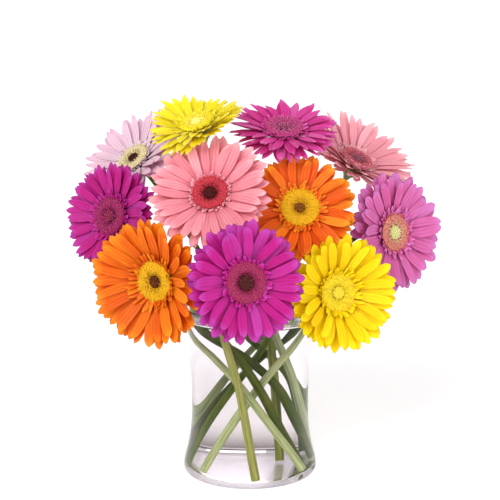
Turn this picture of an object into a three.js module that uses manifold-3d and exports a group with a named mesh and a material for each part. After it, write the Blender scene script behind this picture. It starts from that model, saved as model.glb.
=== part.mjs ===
// Eleven gerberas standing in a glass vase of water.
// Millimetres, +Z up. The origin is the middle of the vase's underside.
import * as THREE from 'three';
import { mergeVertices } from 'three/addons/utils/BufferGeometryUtils.js';
import Module from 'manifold-3d';

const wasm = await Module();
wasm.setup();

// Vase, as radius and height of its outside from the foot up to the rim
const VASE_FLAT_RADIUS = 61;
const VASE_OUTSIDE = [
  [64.6, 0.9], [66, 4], [65, 12], [62.6, 22], [60, 34], [58.3, 48], [57.6, 68],
  [58, 90], [59.4, 112], [61.8, 134],
];
const VASE_HEIGHT = 167;
const RIM_RADIUS = 65;
const RIM_ROUND = 1.5;
const WALL = 3.6;
const FLOOR = 4.5;
const FLOOR_FILLET = 4;
const VASE_SIDES = 32;

// Water and the clearance that everything in it keeps
const WATER_LEVEL = 157;
const CLEARANCE = 0.35;

// Stem: how much of its radius is left below the bloom, and the levels its bends are given at
const NECK_SHARE = 0.8;
const STEM_SIDES = 8;
const STEM_STEPS = 10;
const CROSSING_LEVEL = 105;
const MOUTH_LEVEL = 152;
const NECK_LENGTH = 36;
const NECK_CROWDING = 1.5;

// Bloom, by height along its axis over the top of the hub, and radius from the axis
const PETALS_PER_LAYER = 16;
const OUTER_ROOT = { radius: 16, top: -4, bottom: -5.2 };
const INNER_ROOT = { radius: 15.4, top: -2, bottom: -3.2 };
const SHORT_ROOT = { radius: 14.8, top: 0, bottom: -1.2 };
const CALYX = { top: -5.5, tipRadius: 17, valleyRadius: 12.5, shoulder: -10.5, shoulderRadius: 10.5 };
const CALYX_FOOT = { height: -17, radius: 6.2 };
const STEM_TOP = -23;

// Petal: thickness at the middle, how far its edges stand up, the degrees that it arches by,
// what each inner layer adds, its outline, and its natural spread
const PETAL_THICKNESS = 1.1;
const EDGE_RISE = 0.35;
const ARCH = 6;
const INNER_EXTRA_CUP = 5;
const INNER_LENGTH = 0.95;
const SHORT_EXTRA_CUP = 12;
const PETAL_STATIONS = [{ at: 0.5, width: 1 }, { at: 0.84, width: 0.9 }];
const SPREAD = { bend: 5, cup: 2.5, length: 0.04 };

// Disc of open florets, and the eye of unopened ones in its dimple
const DISC_SIDES = 20;
const DISC_BASE_RADIUS = 13.6;
const DISC_LIP = 3;
const DISC_CREST = 5.6;
const DISC_DIMPLE = 2.4;
const FLORET_RELIEF = 0.45;
const EYE_SIDES = 10;
const EYE_HEIGHT = 3;

const COLOURS = {
  glass: 0xdfe3ea, water: 0xe6eef2, stem: 0x6f8f2c,
  lilac: 0xe3a9d8, yellow: 0xffe600, magenta: 0xd3149a, salmon: 0xf77c8f, pink: 0xf98f9d,
  orange: 0xff8412, orchid: 0xe05cc0,
  cream: 0xe8dba0, gold: 0xf0b41a, lemon: 0xe6d53c, wine: 0x8e1c5c, red: 0xd24450, plum: 0x8a4a5c,
  darkBrown: 0x2c1410, olive: 0x9a9a34, pale: 0xf2f2c0,
};

// The blooms, each with its place and its facing: turn is to the viewer's right of straight
// ahead, tilt is up from level. reach is the tip radius and cup the petals' rise from root to
// tip; saddle adds to it at the bloom's two sides and takes from it above and below. short is how
// far the short petals stand out, and discRadius and eyeRadius are the middle's sizes.
// stem is the radius of the stem's cut end. foot, crossing and mouth are its x and y on the vase's
// floor, at CROSSING_LEVEL and at MOUTH_LEVEL.
const BLOOMS = [
  {
    name: 'lilac', petal: 'lilac', disc: 'cream', eye: 'darkBrown', seed: 11,
    centre: [-114, 48, 303], turn: -50, tilt: 48, reach: 57, cup: 13,
    saddle: 2, width: 10.6, short: 7, discRadius: 15.5, eyeRadius: 6,
    stem: 2.8, foot: [32, 32], crossing: [18, 35], mouth: [-14, 28],
  },
  {
    name: 'yellow_top', petal: 'yellow', disc: 'lemon', eye: 'pale', seed: 12,
    centre: [-50, -7, 346], turn: -42, tilt: 65, reach: 47, cup: 13,
    saddle: 13, width: 9.6, short: 8, discRadius: 15.5, eyeRadius: 5.5,
    stem: 3, foot: [39, 26], crossing: [27, 10], mouth: [14, 8],
  },
  {
    name: 'magenta_top', petal: 'magenta', disc: 'wine', eye: 'darkBrown', seed: 13,
    centre: [33, 14, 338], turn: 6, tilt: 68, reach: 53, cup: 5,
    saddle: 3, width: 9.8, short: 9, discRadius: 17.5, eyeRadius: 6.5,
    stem: 3.2, foot: [21, 10], crossing: [16, 12], mouth: [14, 17],
  },
  {
    name: 'salmon', petal: 'salmon', disc: 'plum', eye: 'darkBrown', seed: 14,
    centre: [106, 63, 299], turn: 52, tilt: 57, reach: 59, cup: 21,
    saddle: 0, width: 9.8, short: 7, discRadius: 16, eyeRadius: 6,
    stem: 2.6, foot: [-41, 32], crossing: [-8, 38], mouth: [20, 44],
  },
  {
    name: 'pink', petal: 'pink', disc: 'red', eye: 'darkBrown', seed: 15,
    centre: [-37, -50, 287], turn: -9, tilt: 36, reach: 58, cup: 12,
    saddle: 2, width: 10.6, short: 6, discRadius: 15.5, eyeRadius: 6.5,
    stem: 4.2, foot: [38, -2], crossing: [2, -27], mouth: [-26, -35],
  },
  {
    name: 'orange_right', petal: 'orange', disc: 'gold', eye: 'darkBrown', seed: 16,
    centre: [47, -30, 269], turn: 3, tilt: 30, reach: 54.5, cup: 9,
    saddle: 2, width: 10.4, short: 9, discRadius: 17.5, eyeRadius: 5,
    stem: 2.8, foot: [-52, -6], crossing: [-2, 12], mouth: [18, -4],
  },
  {
    name: 'orchid', petal: 'orchid', disc: 'cream', eye: 'olive', seed: 17,
    centre: [139, 5, 238], turn: 42, tilt: 10, reach: 59, cup: 8,
    saddle: 4, width: 12, short: 11, discRadius: 16.5, eyeRadius: 7,
    stem: 2.8, foot: [-52, 6], crossing: [0, 25], mouth: [38, 18],
  },
  {
    name: 'magenta_left', petal: 'magenta', disc: 'wine', eye: 'darkBrown', seed: 18,
    centre: [-133, -9, 257], turn: -36, tilt: 16, reach: 53, cup: 10,
    saddle: 2, width: 10, short: 10, discRadius: 17, eyeRadius: 6,
    stem: 4, foot: [47, 10], crossing: [10, 1], mouth: [-42, 1],
  },
  {
    name: 'orange_left', petal: 'orange', disc: 'gold', eye: 'darkBrown', seed: 19,
    centre: [-88, -59, 205], turn: -32, tilt: 1, reach: 62, cup: 23,
    saddle: 2, width: 11.6, short: 10, discRadius: 18, eyeRadius: 6,
    stem: 3.8, foot: [47, -23], crossing: [-15, -27], mouth: [-54, -3],
  },
  {
    name: 'magenta_front', petal: 'magenta', disc: 'wine', eye: 'darkBrown', seed: 20,
    centre: [-4, -105, 215], turn: 18, tilt: 12, reach: 57, cup: 9,
    saddle: 2, width: 10.8, short: 10, discRadius: 18, eyeRadius: 7.5,
    stem: 4.2, foot: [5, -51], crossing: [-12, -45], mouth: [-24, -45],
  },
  {
    name: 'yellow_right', petal: 'yellow', disc: 'lemon', eye: 'olive', seed: 21,
    centre: [82, -55, 193], turn: 26, tilt: 10, reach: 55.5, cup: 24,
    saddle: 2, width: 10.8, short: 9, discRadius: 17, eyeRadius: 6,
    stem: 3.8, foot: [-42, -28], crossing: [15, -13], mouth: [47, -12],
  },
];

const DEGREE = Math.PI / 180;

// A small repeatable random source, giving values from -1 to 1
function seededDraw(seed) {
  let state = seed * 7919;
  return () => {
    state = (Math.imul(state, 1103515245) + 12345) & 0x7fffffff;
    return (state >>> 8) / 0x3fffff - 1;
  };
}

// Collects points and triangles of one closed mesh
class Shell {
  points = [];
  faces = [];

  add(point) {
    this.points.push(point);
    return this.points.length - 1;
  }

  face(...corners) {
    this.faces.push(corners);
  }

  // Joins two rings of the same number of points, the second further along than the first
  band(first, second) {
    first.forEach((a, i) => {
      const next = (i + 1) % first.length;
      this.face(a, first[next], second[next]);
      this.face(a, second[next], second[i]);
    });
  }

  fan(centre, ring) {
    ring.forEach((a, i) => this.face(centre, a, ring[(i + 1) % ring.length]));
  }

  geometry() {
    const geometry = new THREE.BufferGeometry();
    const flat = this.points.flatMap((p) => [p.x, p.y, p.z]);
    geometry.setAttribute('position', new THREE.Float32BufferAttribute(flat, 3));
    geometry.setIndex(this.faces.flat());
    return geometry;
  }
}

// The bloom's own axes: z is the way it faces, x is level
function bloomFrame(bloom) {
  const turn = bloom.turn * DEGREE;
  const tilt = bloom.tilt * DEGREE;
  const facing = new THREE.Vector3(
    Math.sin(turn) * Math.cos(tilt),
    -Math.cos(turn) * Math.cos(tilt),
    Math.sin(tilt),
  );
  const side = new THREE.Vector3(0, 0, 1).cross(facing).normalize();
  const up = facing.clone().cross(side);
  const frame = new THREE.Matrix4().makeBasis(side, up, facing);
  return frame.setPosition(...bloom.centre);
}

function polar(radius, angle, height) {
  return new THREE.Vector3(radius * Math.cos(angle), radius * Math.sin(angle), height);
}

// A point of a petal's middle line, which leaves the hub steeply and levels off toward the tip
function petalPoint(petal, at) {
  const out = petal.length * at;
  const slope = Math.tan(petal.cup) + Math.tan(ARCH * DEGREE) * (1 - at);
  return polar(petal.radius + out, petal.angle + petal.bend * at ** 2, petal.height + out * slope);
}

// Four corners round a petal at one station: right edge, top, left edge, underside
function petalSection(shell, petal, station) {
  const angle = petal.angle + petal.bend * station.at ** 2;
  const centre = petalPoint(petal, station.at);
  const across = polar(petal.width * station.width / 2, angle + Math.PI / 2, 0);
  const rise = new THREE.Vector3(0, 0, EDGE_RISE);
  const half = PETAL_THICKNESS / 2;
  return [
    shell.add(centre.clone().sub(across).add(rise)),
    shell.add(centre.clone().add(new THREE.Vector3(0, 0, half))),
    shell.add(centre.clone().add(across).add(rise)),
    shell.add(centre.clone().add(new THREE.Vector3(0, 0, -half))),
  ];
}

// The step from a petal's root, four corners shared with its neighbours, to its first station
function petalRoot(shell, root, section) {
  const [right, top, left, under] = section;
  shell.face(root.rightTop, top, root.leftTop);
  shell.face(root.rightTop, right, top);
  shell.face(root.leftTop, top, left);
  shell.face(root.rightLow, root.leftLow, under);
  shell.face(root.rightLow, under, right);
  shell.face(root.leftLow, left, under);
  shell.face(root.rightTop, root.rightLow, right);
  shell.face(root.leftTop, left, root.leftLow);
}

function longPetal(shell, root, petal) {
  const sections = PETAL_STATIONS.map((station) => petalSection(shell, petal, station));
  petalRoot(shell, root, sections[0]);
  sections.slice(1).forEach((section, i) => {
    const before = sections[i];
    before.forEach((a, k) => {
      const next = (k + 1) % 4;
      shell.face(a, section[k], section[next]);
      shell.face(a, section[next], before[next]);
    });
  });
  const last = sections[sections.length - 1];
  const tip = shell.add(petalPoint(petal, 1));
  last.forEach((a, k) => shell.face(a, tip, last[(k + 1) % 4]));
}

function shortPetal(shell, root, petal) {
  const tip = shell.add(petalPoint(petal, 1));
  shell.face(root.rightTop, tip, root.leftTop);
  shell.face(root.rightLow, root.leftLow, tip);
  shell.face(root.rightTop, root.rightLow, tip);
  shell.face(root.leftTop, tip, root.leftLow);
}

// The ring of root corners that one layer of petals grows from
function rootRing(shell, root, layer) {
  const pitch = 2 * Math.PI / PETALS_PER_LAYER;
  const ring = { top: [], low: [], angles: [] };
  for (let i = 0; i < PETALS_PER_LAYER; i++) {
    const angle = (i + layer / 2) * pitch;
    ring.angles.push(angle + pitch / 2);
    ring.top.push(shell.add(polar(root.radius, angle, root.top)));
    ring.low.push(shell.add(polar(root.radius, angle, root.bottom)));
  }
  return ring;
}

// The step in the hub between one layer's roots and the next, which sit half a pitch round
function hubStep(shell, lower, upper) {
  lower.top.forEach((a, i) => {
    const next = (i + 1) % PETALS_PER_LAYER;
    shell.face(a, lower.top[next], upper.low[i]);
    shell.face(lower.top[next], upper.low[next], upper.low[i]);
  });
}

// Hub with two layers of long petals and one of short ones, all in one closed body
function raysGeometry(bloom) {
  const shell = new Shell();
  const draw = seededDraw(bloom.seed);
  const { reach, cup, short } = bloom;
  const layers = [
    { root: OUTER_ROOT, tip: reach, cup, grow: longPetal },
    { root: INNER_ROOT, tip: reach * INNER_LENGTH, cup: cup + INNER_EXTRA_CUP, grow: longPetal },
    { root: SHORT_ROOT, tip: SHORT_ROOT.radius + short, cup: cup + SHORT_EXTRA_CUP, grow: shortPetal },
  ];
  const rings = layers.map((layer, i) => rootRing(shell, layer.root, i));
  shell.fan(shell.add(polar(0, 0, OUTER_ROOT.bottom)), [...rings[0].low].reverse());
  rings.slice(1).forEach((ring, i) => hubStep(shell, rings[i], ring));
  shell.fan(shell.add(polar(0, 0, SHORT_ROOT.top)), rings[2].top);
  layers.forEach((layer, i) => growLayer(shell, layer, rings[i], bloom, draw));
  return shell.geometry();
}

function growLayer(shell, layer, ring, bloom, draw) {
  for (let i = 0; i < PETALS_PER_LAYER; i++) {
    const next = (i + 1) % PETALS_PER_LAYER;
    const root = {
      rightTop: ring.top[i], leftTop: ring.top[next], rightLow: ring.low[i], leftLow: ring.low[next],
    };
    const bend = draw() * SPREAD.bend * DEGREE;
    const sides = bloom.saddle * Math.cos(2 * ring.angles[i]);
    const cup = (layer.cup + sides + draw() * SPREAD.cup) * DEGREE;
    const size = 1 + draw() * SPREAD.length;
    const { radius, top, bottom } = layer.root;
    layer.grow(shell, root, {
      angle: ring.angles[i], bend, cup, radius, height: (top + bottom) / 2,
      width: bloom.width, length: (layer.tip - radius) * size,
    });
  }
}

// A round of points; relief moves every other one out and up, as the florets' heads do
function roundOf(shell, sides, radius, height, relief = 0) {
  return Array.from({ length: sides }, (_, i) => {
    const push = i % 2 ? relief : -relief;
    return shell.add(polar(radius + push, 2 * Math.PI * i / sides, height + push));
  });
}

function discGeometry(bloom) {
  const shell = new Shell();
  const base = SHORT_ROOT.top + CLEARANCE;
  const rings = [
    roundOf(shell, DISC_SIDES, DISC_BASE_RADIUS, base),
    roundOf(shell, DISC_SIDES, bloom.discRadius, DISC_LIP, FLORET_RELIEF),
    roundOf(shell, DISC_SIDES, bloom.discRadius - 3, DISC_CREST, FLORET_RELIEF),
    roundOf(shell, DISC_SIDES, bloom.eyeRadius + 1, DISC_DIMPLE),
  ];
  shell.fan(shell.add(polar(0, 0, base)), [...rings[0]].reverse());
  rings.slice(1).forEach((ring, i) => shell.band(rings[i], ring));
  shell.fan(shell.add(polar(0, 0, DISC_DIMPLE)), rings[3]);
  return shell.geometry();
}

function eyeGeometry(bloom) {
  const shell = new Shell();
  const base = DISC_DIMPLE + CLEARANCE;
  const low = roundOf(shell, EYE_SIDES, bloom.eyeRadius, base);
  const shoulder = { radius: bloom.eyeRadius * 0.75, height: base + EYE_HEIGHT * 0.8 };
  const high = roundOf(shell, EYE_SIDES, shoulder.radius, shoulder.height, FLORET_RELIEF / 2);
  shell.fan(shell.add(polar(0, 0, base)), [...low].reverse());
  shell.band(low, high);
  shell.fan(shell.add(polar(0, 0, base + EYE_HEIGHT)), high);
  return shell.geometry();
}

// The stem's middle line, from the cut end on the vase's floor to the bottom of the calyx.
// It leaves the mouth toward a point behind the bloom and rounds off the corner there.
function stemRoute(bloom, frame) {
  const at = ([x, y], z) => new THREE.Vector3(x, y, z);
  const mouth = at(bloom.mouth, MOUTH_LEVEL);
  const top = onAxis(frame, STEM_TOP);
  const corner = onAxis(frame, STEM_TOP - NECK_LENGTH);
  return new THREE.CatmullRomCurve3([
    at(bloom.foot, FLOOR + CLEARANCE),
    at(bloom.crossing, CROSSING_LEVEL),
    mouth,
    mouth.clone().lerp(corner, 0.65),
    corner.clone().lerp(top, 0.5),
    top,
  ], false, 'centripetal');
}

function onAxis(frame, height) {
  return new THREE.Vector3(0, 0, height).applyMatrix4(frame);
}

// A ring of points across the route, all starting from the same direction
function stemRing(shell, centre, along, radius) {
  const side = new THREE.Vector3(0, 1, 0).cross(along).normalize();
  const other = along.clone().cross(side);
  return Array.from({ length: STEM_SIDES }, (_, i) => {
    const angle = 2 * Math.PI * i / STEM_SIDES;
    const point = centre.clone();
    point.addScaledVector(side, radius * Math.cos(angle));
    point.addScaledVector(other, radius * Math.sin(angle));
    return shell.add(point);
  });
}

// Slides a ring's points along the stem until the cut end is level
function levelRing(shell, ring, along, height) {
  ring.forEach((i) => {
    const point = shell.points[i];
    point.addScaledVector(along, (height - point.z) / along.z);
  });
}

function stemTube(shell, bloom, route, extra, end) {
  const rings = [];
  for (let i = 0; i <= STEM_STEPS; i++) {
    const share = 1 - (1 - i / STEM_STEPS) ** NECK_CROWDING;
    const along = route.getTangentAt(share);
    const radius = bloom.stem * THREE.MathUtils.lerp(1, NECK_SHARE, share) + extra;
    rings.push(stemRing(shell, route.getPointAt(share), along, radius));
  }
  levelRing(shell, rings[0], route.getTangentAt(0), end);
  rings.slice(1).forEach((ring, i) => shell.band(rings[i], ring));
  return rings;
}

// The star of bract tips and notches at the calyx's top, closed by a flat fan under the petals
function calyxTop(shell, shoulder, frame, facing) {
  const { tipRadius, valleyRadius, top } = CALYX;
  const centre = onAxis(frame, top);
  const tips = stemRing(shell, centre, facing, tipRadius);
  const star = [];
  tips.forEach((tip, i) => {
    const after = (i + 1) % STEM_SIDES;
    const between = shell.points[tip].clone().add(shell.points[tips[after]]).divideScalar(2);
    const notch = shell.add(between.sub(centre).setLength(valleyRadius).add(centre));
    shell.face(shoulder[i], notch, tip);
    shell.face(shoulder[i], shoulder[after], notch);
    shell.face(shoulder[after], tips[after], notch);
    star.push(tip, notch);
  });
  shell.fan(shell.add(centre), star);
}

function stemGeometry(bloom, frame) {
  const shell = new Shell();
  const facing = new THREE.Vector3().setFromMatrixColumn(frame, 2);
  const rings = stemTube(shell, bloom, stemRoute(bloom, frame), 0, FLOOR + CLEARANCE);
  const foot = stemRing(shell, onAxis(frame, CALYX_FOOT.height), facing, CALYX_FOOT.radius);
  const shoulder = stemRing(shell, onAxis(frame, CALYX.shoulder), facing, CALYX.shoulderRadius);
  shell.band(rings[rings.length - 1], foot);
  shell.band(foot, shoulder);
  calyxTop(shell, shoulder, frame, facing);
  const cut = rings[0].map((i) => shell.points[i]);
  const middle = cut.reduce((sum, p) => sum.add(p), new THREE.Vector3()).divideScalar(cut.length);
  shell.fan(shell.add(middle), [...rings[0]].reverse());
  return shell.geometry();
}

// The vase's inside, a wall's thickness in from its outside, as radius and height going up
function insideProfile(shrink = 0) {
  const rise = (r, z) => [r - WALL - shrink, z];
  const wall = VASE_OUTSIDE.filter(([, z]) => z > FLOOR + FLOOR_FILLET).map(([r, z]) => rise(r, z));
  const corner = wall[0][0] - 0.6;
  return [
    [corner - FLOOR_FILLET, FLOOR + shrink],
    [corner - FLOOR_FILLET * 0.3, FLOOR + shrink + FLOOR_FILLET * 0.3],
    ...wall,
  ];
}

function lathe(profile) {
  const points = profile.map(([r, z]) => new THREE.Vector2(r, z));
  const geometry = new THREE.LatheGeometry(points, VASE_SIDES);
  return geometry.rotateX(Math.PI / 2);
}

function vaseGeometry() {
  const inside = insideProfile().reverse();
  return lathe([
    [0, 0], [VASE_FLAT_RADIUS, 0], ...VASE_OUTSIDE,
    [RIM_RADIUS, VASE_HEIGHT - RIM_ROUND], [RIM_RADIUS - RIM_ROUND / 2, VASE_HEIGHT],
    [RIM_RADIUS - WALL + RIM_ROUND / 2, VASE_HEIGHT], [RIM_RADIUS - WALL, VASE_HEIGHT - RIM_ROUND],
    ...inside, [0, FLOOR],
  ]);
}

function toSolid(geometry) {
  const bare = geometry.clone();
  bare.deleteAttribute('normal');
  bare.deleteAttribute('uv');
  const merged = mergeVertices(bare);
  return new wasm.Manifold(new wasm.Mesh({
    numProp: 3,
    vertProperties: new Float32Array(merged.attributes.position.array),
    triVerts: new Uint32Array(merged.index.array),
  }));
}

function fromSolid(solid) {
  const { vertProperties, triVerts } = solid.getMesh();
  const geometry = new THREE.BufferGeometry();
  geometry.setAttribute('position', new THREE.Float32BufferAttribute(vertProperties, 3));
  geometry.setIndex(new THREE.Uint32BufferAttribute(triVerts, 1));
  return geometry;
}

// A stem's tube a little larger than life and closed at both ends, to cut its hole in the water
function holeGeometry(bloom, frame) {
  const shell = new Shell();
  const rings = stemTube(shell, bloom, stemRoute(bloom, frame), CLEARANCE, FLOOR - 1);
  const ends = [rings[0], rings[rings.length - 1]].map((ring) => {
    const sum = ring.reduce((total, i) => total.add(shell.points[i]), new THREE.Vector3());
    return shell.add(sum.divideScalar(ring.length));
  });
  shell.fan(ends[0], [...rings[0]].reverse());
  shell.fan(ends[1], rings[rings.length - 1]);
  return shell.geometry();
}

function waterGeometry() {
  const below = insideProfile(CLEARANCE).filter(([, z]) => z < WATER_LEVEL);
  const [lastRadius] = below[below.length - 1];
  const body = lathe([
    [0, FLOOR + CLEARANCE], ...below, [lastRadius + 0.9, WATER_LEVEL], [0, WATER_LEVEL],
  ]);
  const holes = BLOOMS.map((bloom) => toSolid(holeGeometry(bloom, bloomFrame(bloom))));
  const water = holes.reduce((left, hole) => left.subtract(hole), toSolid(body));
  return fromSolid(water);
}

function piece(name, geometry, colour, finish = {}) {
  const material = new THREE.MeshStandardMaterial({ color: COLOURS[colour], roughness: 0.6, ...finish });
  const mesh = new THREE.Mesh(geometry, material);
  mesh.name = name;
  return mesh;
}

// One gerbera: its stem stands in the vase's own frame, its head in a group that faces its way
function flower(bloom) {
  const group = new THREE.Group();
  const frame = bloomFrame(bloom);
  const head = new THREE.Group();
  head.applyMatrix4(frame);
  head.add(
    piece(`rays_${bloom.name}`, raysGeometry(bloom), bloom.petal),
    piece(`disc_${bloom.name}`, discGeometry(bloom), bloom.disc, { roughness: 0.8 }),
    piece(`eye_${bloom.name}`, eyeGeometry(bloom), bloom.eye, { roughness: 0.8 }),
  );
  group.add(piece(`stem_${bloom.name}`, stemGeometry(bloom, frame), 'stem'), head);
  return group;
}

const arrangement = new THREE.Group();
const clear = { roughness: 0.03, transparent: true };
arrangement.add(
  piece('vase', vaseGeometry(), 'glass', { ...clear, opacity: 0.3 }),
  piece('water', waterGeometry(), 'water', { ...clear, opacity: 0.25 }),
  ...BLOOMS.map(flower),
);

export default arrangement;
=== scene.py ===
import math
from collections import defaultdict, namedtuple

import bpy
import numpy as np
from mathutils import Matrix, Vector


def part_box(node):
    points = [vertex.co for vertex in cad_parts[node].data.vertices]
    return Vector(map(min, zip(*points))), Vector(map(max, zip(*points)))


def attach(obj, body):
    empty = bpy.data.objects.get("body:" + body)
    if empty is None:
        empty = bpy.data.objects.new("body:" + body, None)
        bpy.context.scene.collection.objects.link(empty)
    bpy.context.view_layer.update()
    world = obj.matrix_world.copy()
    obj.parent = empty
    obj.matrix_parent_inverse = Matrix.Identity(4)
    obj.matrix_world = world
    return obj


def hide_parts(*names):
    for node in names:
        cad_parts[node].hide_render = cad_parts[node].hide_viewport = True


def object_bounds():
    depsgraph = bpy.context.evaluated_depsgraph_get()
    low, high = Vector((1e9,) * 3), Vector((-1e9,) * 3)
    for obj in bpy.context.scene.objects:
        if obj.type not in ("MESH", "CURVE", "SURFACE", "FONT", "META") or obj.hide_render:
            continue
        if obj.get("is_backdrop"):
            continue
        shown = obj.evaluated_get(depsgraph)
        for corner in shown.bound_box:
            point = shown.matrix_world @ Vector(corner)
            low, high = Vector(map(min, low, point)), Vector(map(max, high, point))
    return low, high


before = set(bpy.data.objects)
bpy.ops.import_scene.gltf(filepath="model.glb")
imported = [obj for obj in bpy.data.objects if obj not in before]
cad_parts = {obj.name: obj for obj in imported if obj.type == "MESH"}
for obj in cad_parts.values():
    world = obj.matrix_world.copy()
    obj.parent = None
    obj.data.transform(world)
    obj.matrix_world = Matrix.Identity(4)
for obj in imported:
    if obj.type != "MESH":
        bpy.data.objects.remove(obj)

CAD_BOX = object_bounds()
MM = 0.001
TURN = 2 * math.pi
DEGREE = TURN / 360
GOLDEN_ANGLE = math.pi * (3 - math.sqrt(5))

# Shared form of every bloom, in mm, by height along its axis over the hub and radius from the axis
CLEARANCE = 0.35
PETALS_PER_LAYER = 16
PITCH = TURN / PETALS_PER_LAYER
ARCH = 6 * DEGREE
DISC_DIMPLE = 2.4
EYE_HEIGHT = 3

# How much single petals differ, the first three as in the part's own solids, the droop in mm
SPREAD_BEND = 5 * DEGREE
SPREAD_CUP = 2.5 * DEGREE
SPREAD_LENGTH = 0.04
SPREAD_WIDTH = 0.05
SPREAD_ROLL = 5 * DEGREE
SPREAD_TWIST = 7 * DEGREE
SPREAD_DROOP = 0.9

# A petal in mm: how far its root is sunk in, the waves across it, the depth of the grooves between
# them and of the notches in its tip, and its thickness
ROOT_SUNK = 4
WAVES = 3
GROOVE_DEPTH = 0.17
NOTCH_DEPTH = 0.7
PETAL_THICKNESS = 0.55

# The green cup under the petals, as radius and height from the stem's neck up to the hub
CUP_FOOT = (6.2, -17)
CUP_SHOULDER = (10.5, -10.5)
CUP_TOP = (14.5, -5.5)
CUP = (
    (2.6, -23.5), (4.2, -20), CUP_FOOT, (9.4, -13), CUP_SHOULDER, (12.6, -7.4), CUP_TOP,
    (13.4, -2.5), (13.6, 0.1),
)

# The radius and height of the disc's edge, how many florets and buds go to the square of a radius
# in mm, and their scale
DISC_FOOT = (13.4, 0.2)
FLORET_CROWDING = 0.72
BUD_CROWDING = 0.85
FLORET_SIZE = 0.8
BUD_SIZE = 0.95

# The part's rings of corners along a stem, the steps between two of them here, the ribs round it,
# the share of its radius that they stand out by, and how much it swells and thins, in mm
STEM_LEVELS = 11
STEM_STEPS = 8
RIBS = 5
RIB_SHARE = 0.035
SWELL = 0.12

# How many sides each turned form has
STEM_SIDES = 20
CUP_SIDES = 32
DISC_SIDES = 40
EYE_SIDES = 24
VASE_SIDES = 144

# A layer of ray petals: how many, their turn in pitches of the part's own petals, the hub radius
# and height that they grow from, the degrees that they add to the bloom's cup, and their shares of
# its length and width. The fineness is the number of steps along and across one petal, and a layer
# of loose 1 has just the spread that the solids have.
Layer = namedtuple("Layer", "count turn radius height cup length width fineness loose")
BACK = Layer(32, 0.25, 15.6, -5.0, -5, 0.97, 0.84, (9, 6), 1.6)
OUTER = Layer(16, 0.5, 16, -4.6, 0, 1, 0.98, (14, 12), 1)
INNER = Layer(16, 1.0, 15.4, -2.6, 5, 0.95, 0.92, (14, 12), 1)
FRONT = Layer(16, 0.52, 15, -1.4, 9, 0.89, 0.84, (14, 12), 1.8)

# A row of the short rays round the disc: how many, how much of the bloom's own figure they stand
# out by, and how much steeper than its long petals they rise, in degrees. They grow from the
# radius and height of their root, which is sunk in behind the part's.
Row = namedtuple("Row", "count reach steep")
SHORT_ROWS = (Row(34, 1, 15), Row(30, 0.7, 26))
SHORT_ROOT = (14.2, -0.6)
SHORT_SUNK = 0.6
SHORT_FINENESS = (6, 4)

# A row of bracts on the cup: how many, and the heights of their feet and tips
BRACT_ROWS = ((16, -12.5, -4.6), (14, -14.5, -7.5), (12, -16.5, -10.5))
BRACT_FINENESS = (7, 4)

# What tells one bloom from another: its petals' colour, its florets' and its eye's, the petals'
# tip radius, their cup, how much more of it those at the sides have, their width, how far the
# short rays stand out, the seed of its spread, and how pointed its petals are from 0 to 1
Bloom = namedtuple("Bloom", "petal disc eye reach cup saddle width short seed point")
BLOOMS = {
    "lilac": Bloom("lilac", "cream", "dark", 57, 13, 2, 10.6, 7, 11, 0.6),
    "yellow_top": Bloom("yellow", "lemon", "pale", 47, 13, 13, 9.6, 8, 12, 1),
    "magenta_top": Bloom("magenta", "wine", "dark", 53, 5, 3, 9.8, 9, 13, 0.8),
    "salmon": Bloom("salmon", "plum", "dark", 59, 21, 0, 9.8, 7, 14, 0.4),
    "pink": Bloom("pink", "red", "dark", 58, 12, 2, 10.6, 6, 15, 0.3),
    "orange_right": Bloom("orange", "gold", "dark", 54.5, 9, 2, 10.4, 11, 16, 0.3),
    "orchid": Bloom("orchid", "cream", "olive", 59, 8, 4, 12, 11, 17, 0),
    "magenta_left": Bloom("magenta", "wine", "dark", 53, 10, 2, 10, 10, 18, 0.5),
    "orange_left": Bloom("orange", "gold", "dark", 62, 23, 2, 11.6, 14, 19, 0.1),
    "magenta_front": Bloom("magenta", "wine", "dark", 57, 9, 2, 10.8, 10, 20, 0),
    "yellow_right": Bloom("yellow", "lemon", "olive", 55.5, 24, 2, 10.8, 9, 21, 0.1),
}


def smooth(x):
    """Goes from 0 to 1 as x does, level at both ends."""
    x = np.clip(x, 0, 1)
    return x * x * (3 - 2 * x)


def seeded_draw(seed):
    """The part's own small random source, giving values from -1 to 1."""
    state = seed * 7919
    while True:
        state = (state * 1103515245 + 12345) & 0x7FFFFFFF
        yield (state >> 8) / 0x3FFFFF - 1


def spline(points, steps):
    """A smooth line through the points, with that many steps between each two of them."""
    points = np.asarray(points, float)
    ends = 2 * points[[0, -1]] - points[[1, -2]]
    padded = np.vstack([ends[:1], points, ends[1:]])
    share = np.linspace(0, 1, steps, endpoint=False)[:, None]
    parts = []
    for p0, p1, p2, p3 in zip(padded, padded[1:], padded[2:], padded[3:]):
        gaps = [max(np.linalg.norm(b - a) ** 0.5, 1e-6) for a, b in ((p0, p1), (p1, p2), (p2, p3))]
        leave = ((p1 - p0) / gaps[0] - (p2 - p0) / (gaps[0] + gaps[1]) + (p2 - p1) / gaps[1]) * gaps[1]
        arrive = ((p2 - p1) / gaps[1] - (p3 - p1) / (gaps[1] + gaps[2]) + (p3 - p2) / gaps[2]) * gaps[1]
        square = 3 * (p2 - p1) - 2 * leave - arrive
        cube = 2 * (p1 - p2) + leave + arrive
        parts.append(p1 + share * (leave + share * (square + share * cube)))
    return np.vstack(parts + [points[-1:]])


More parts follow.
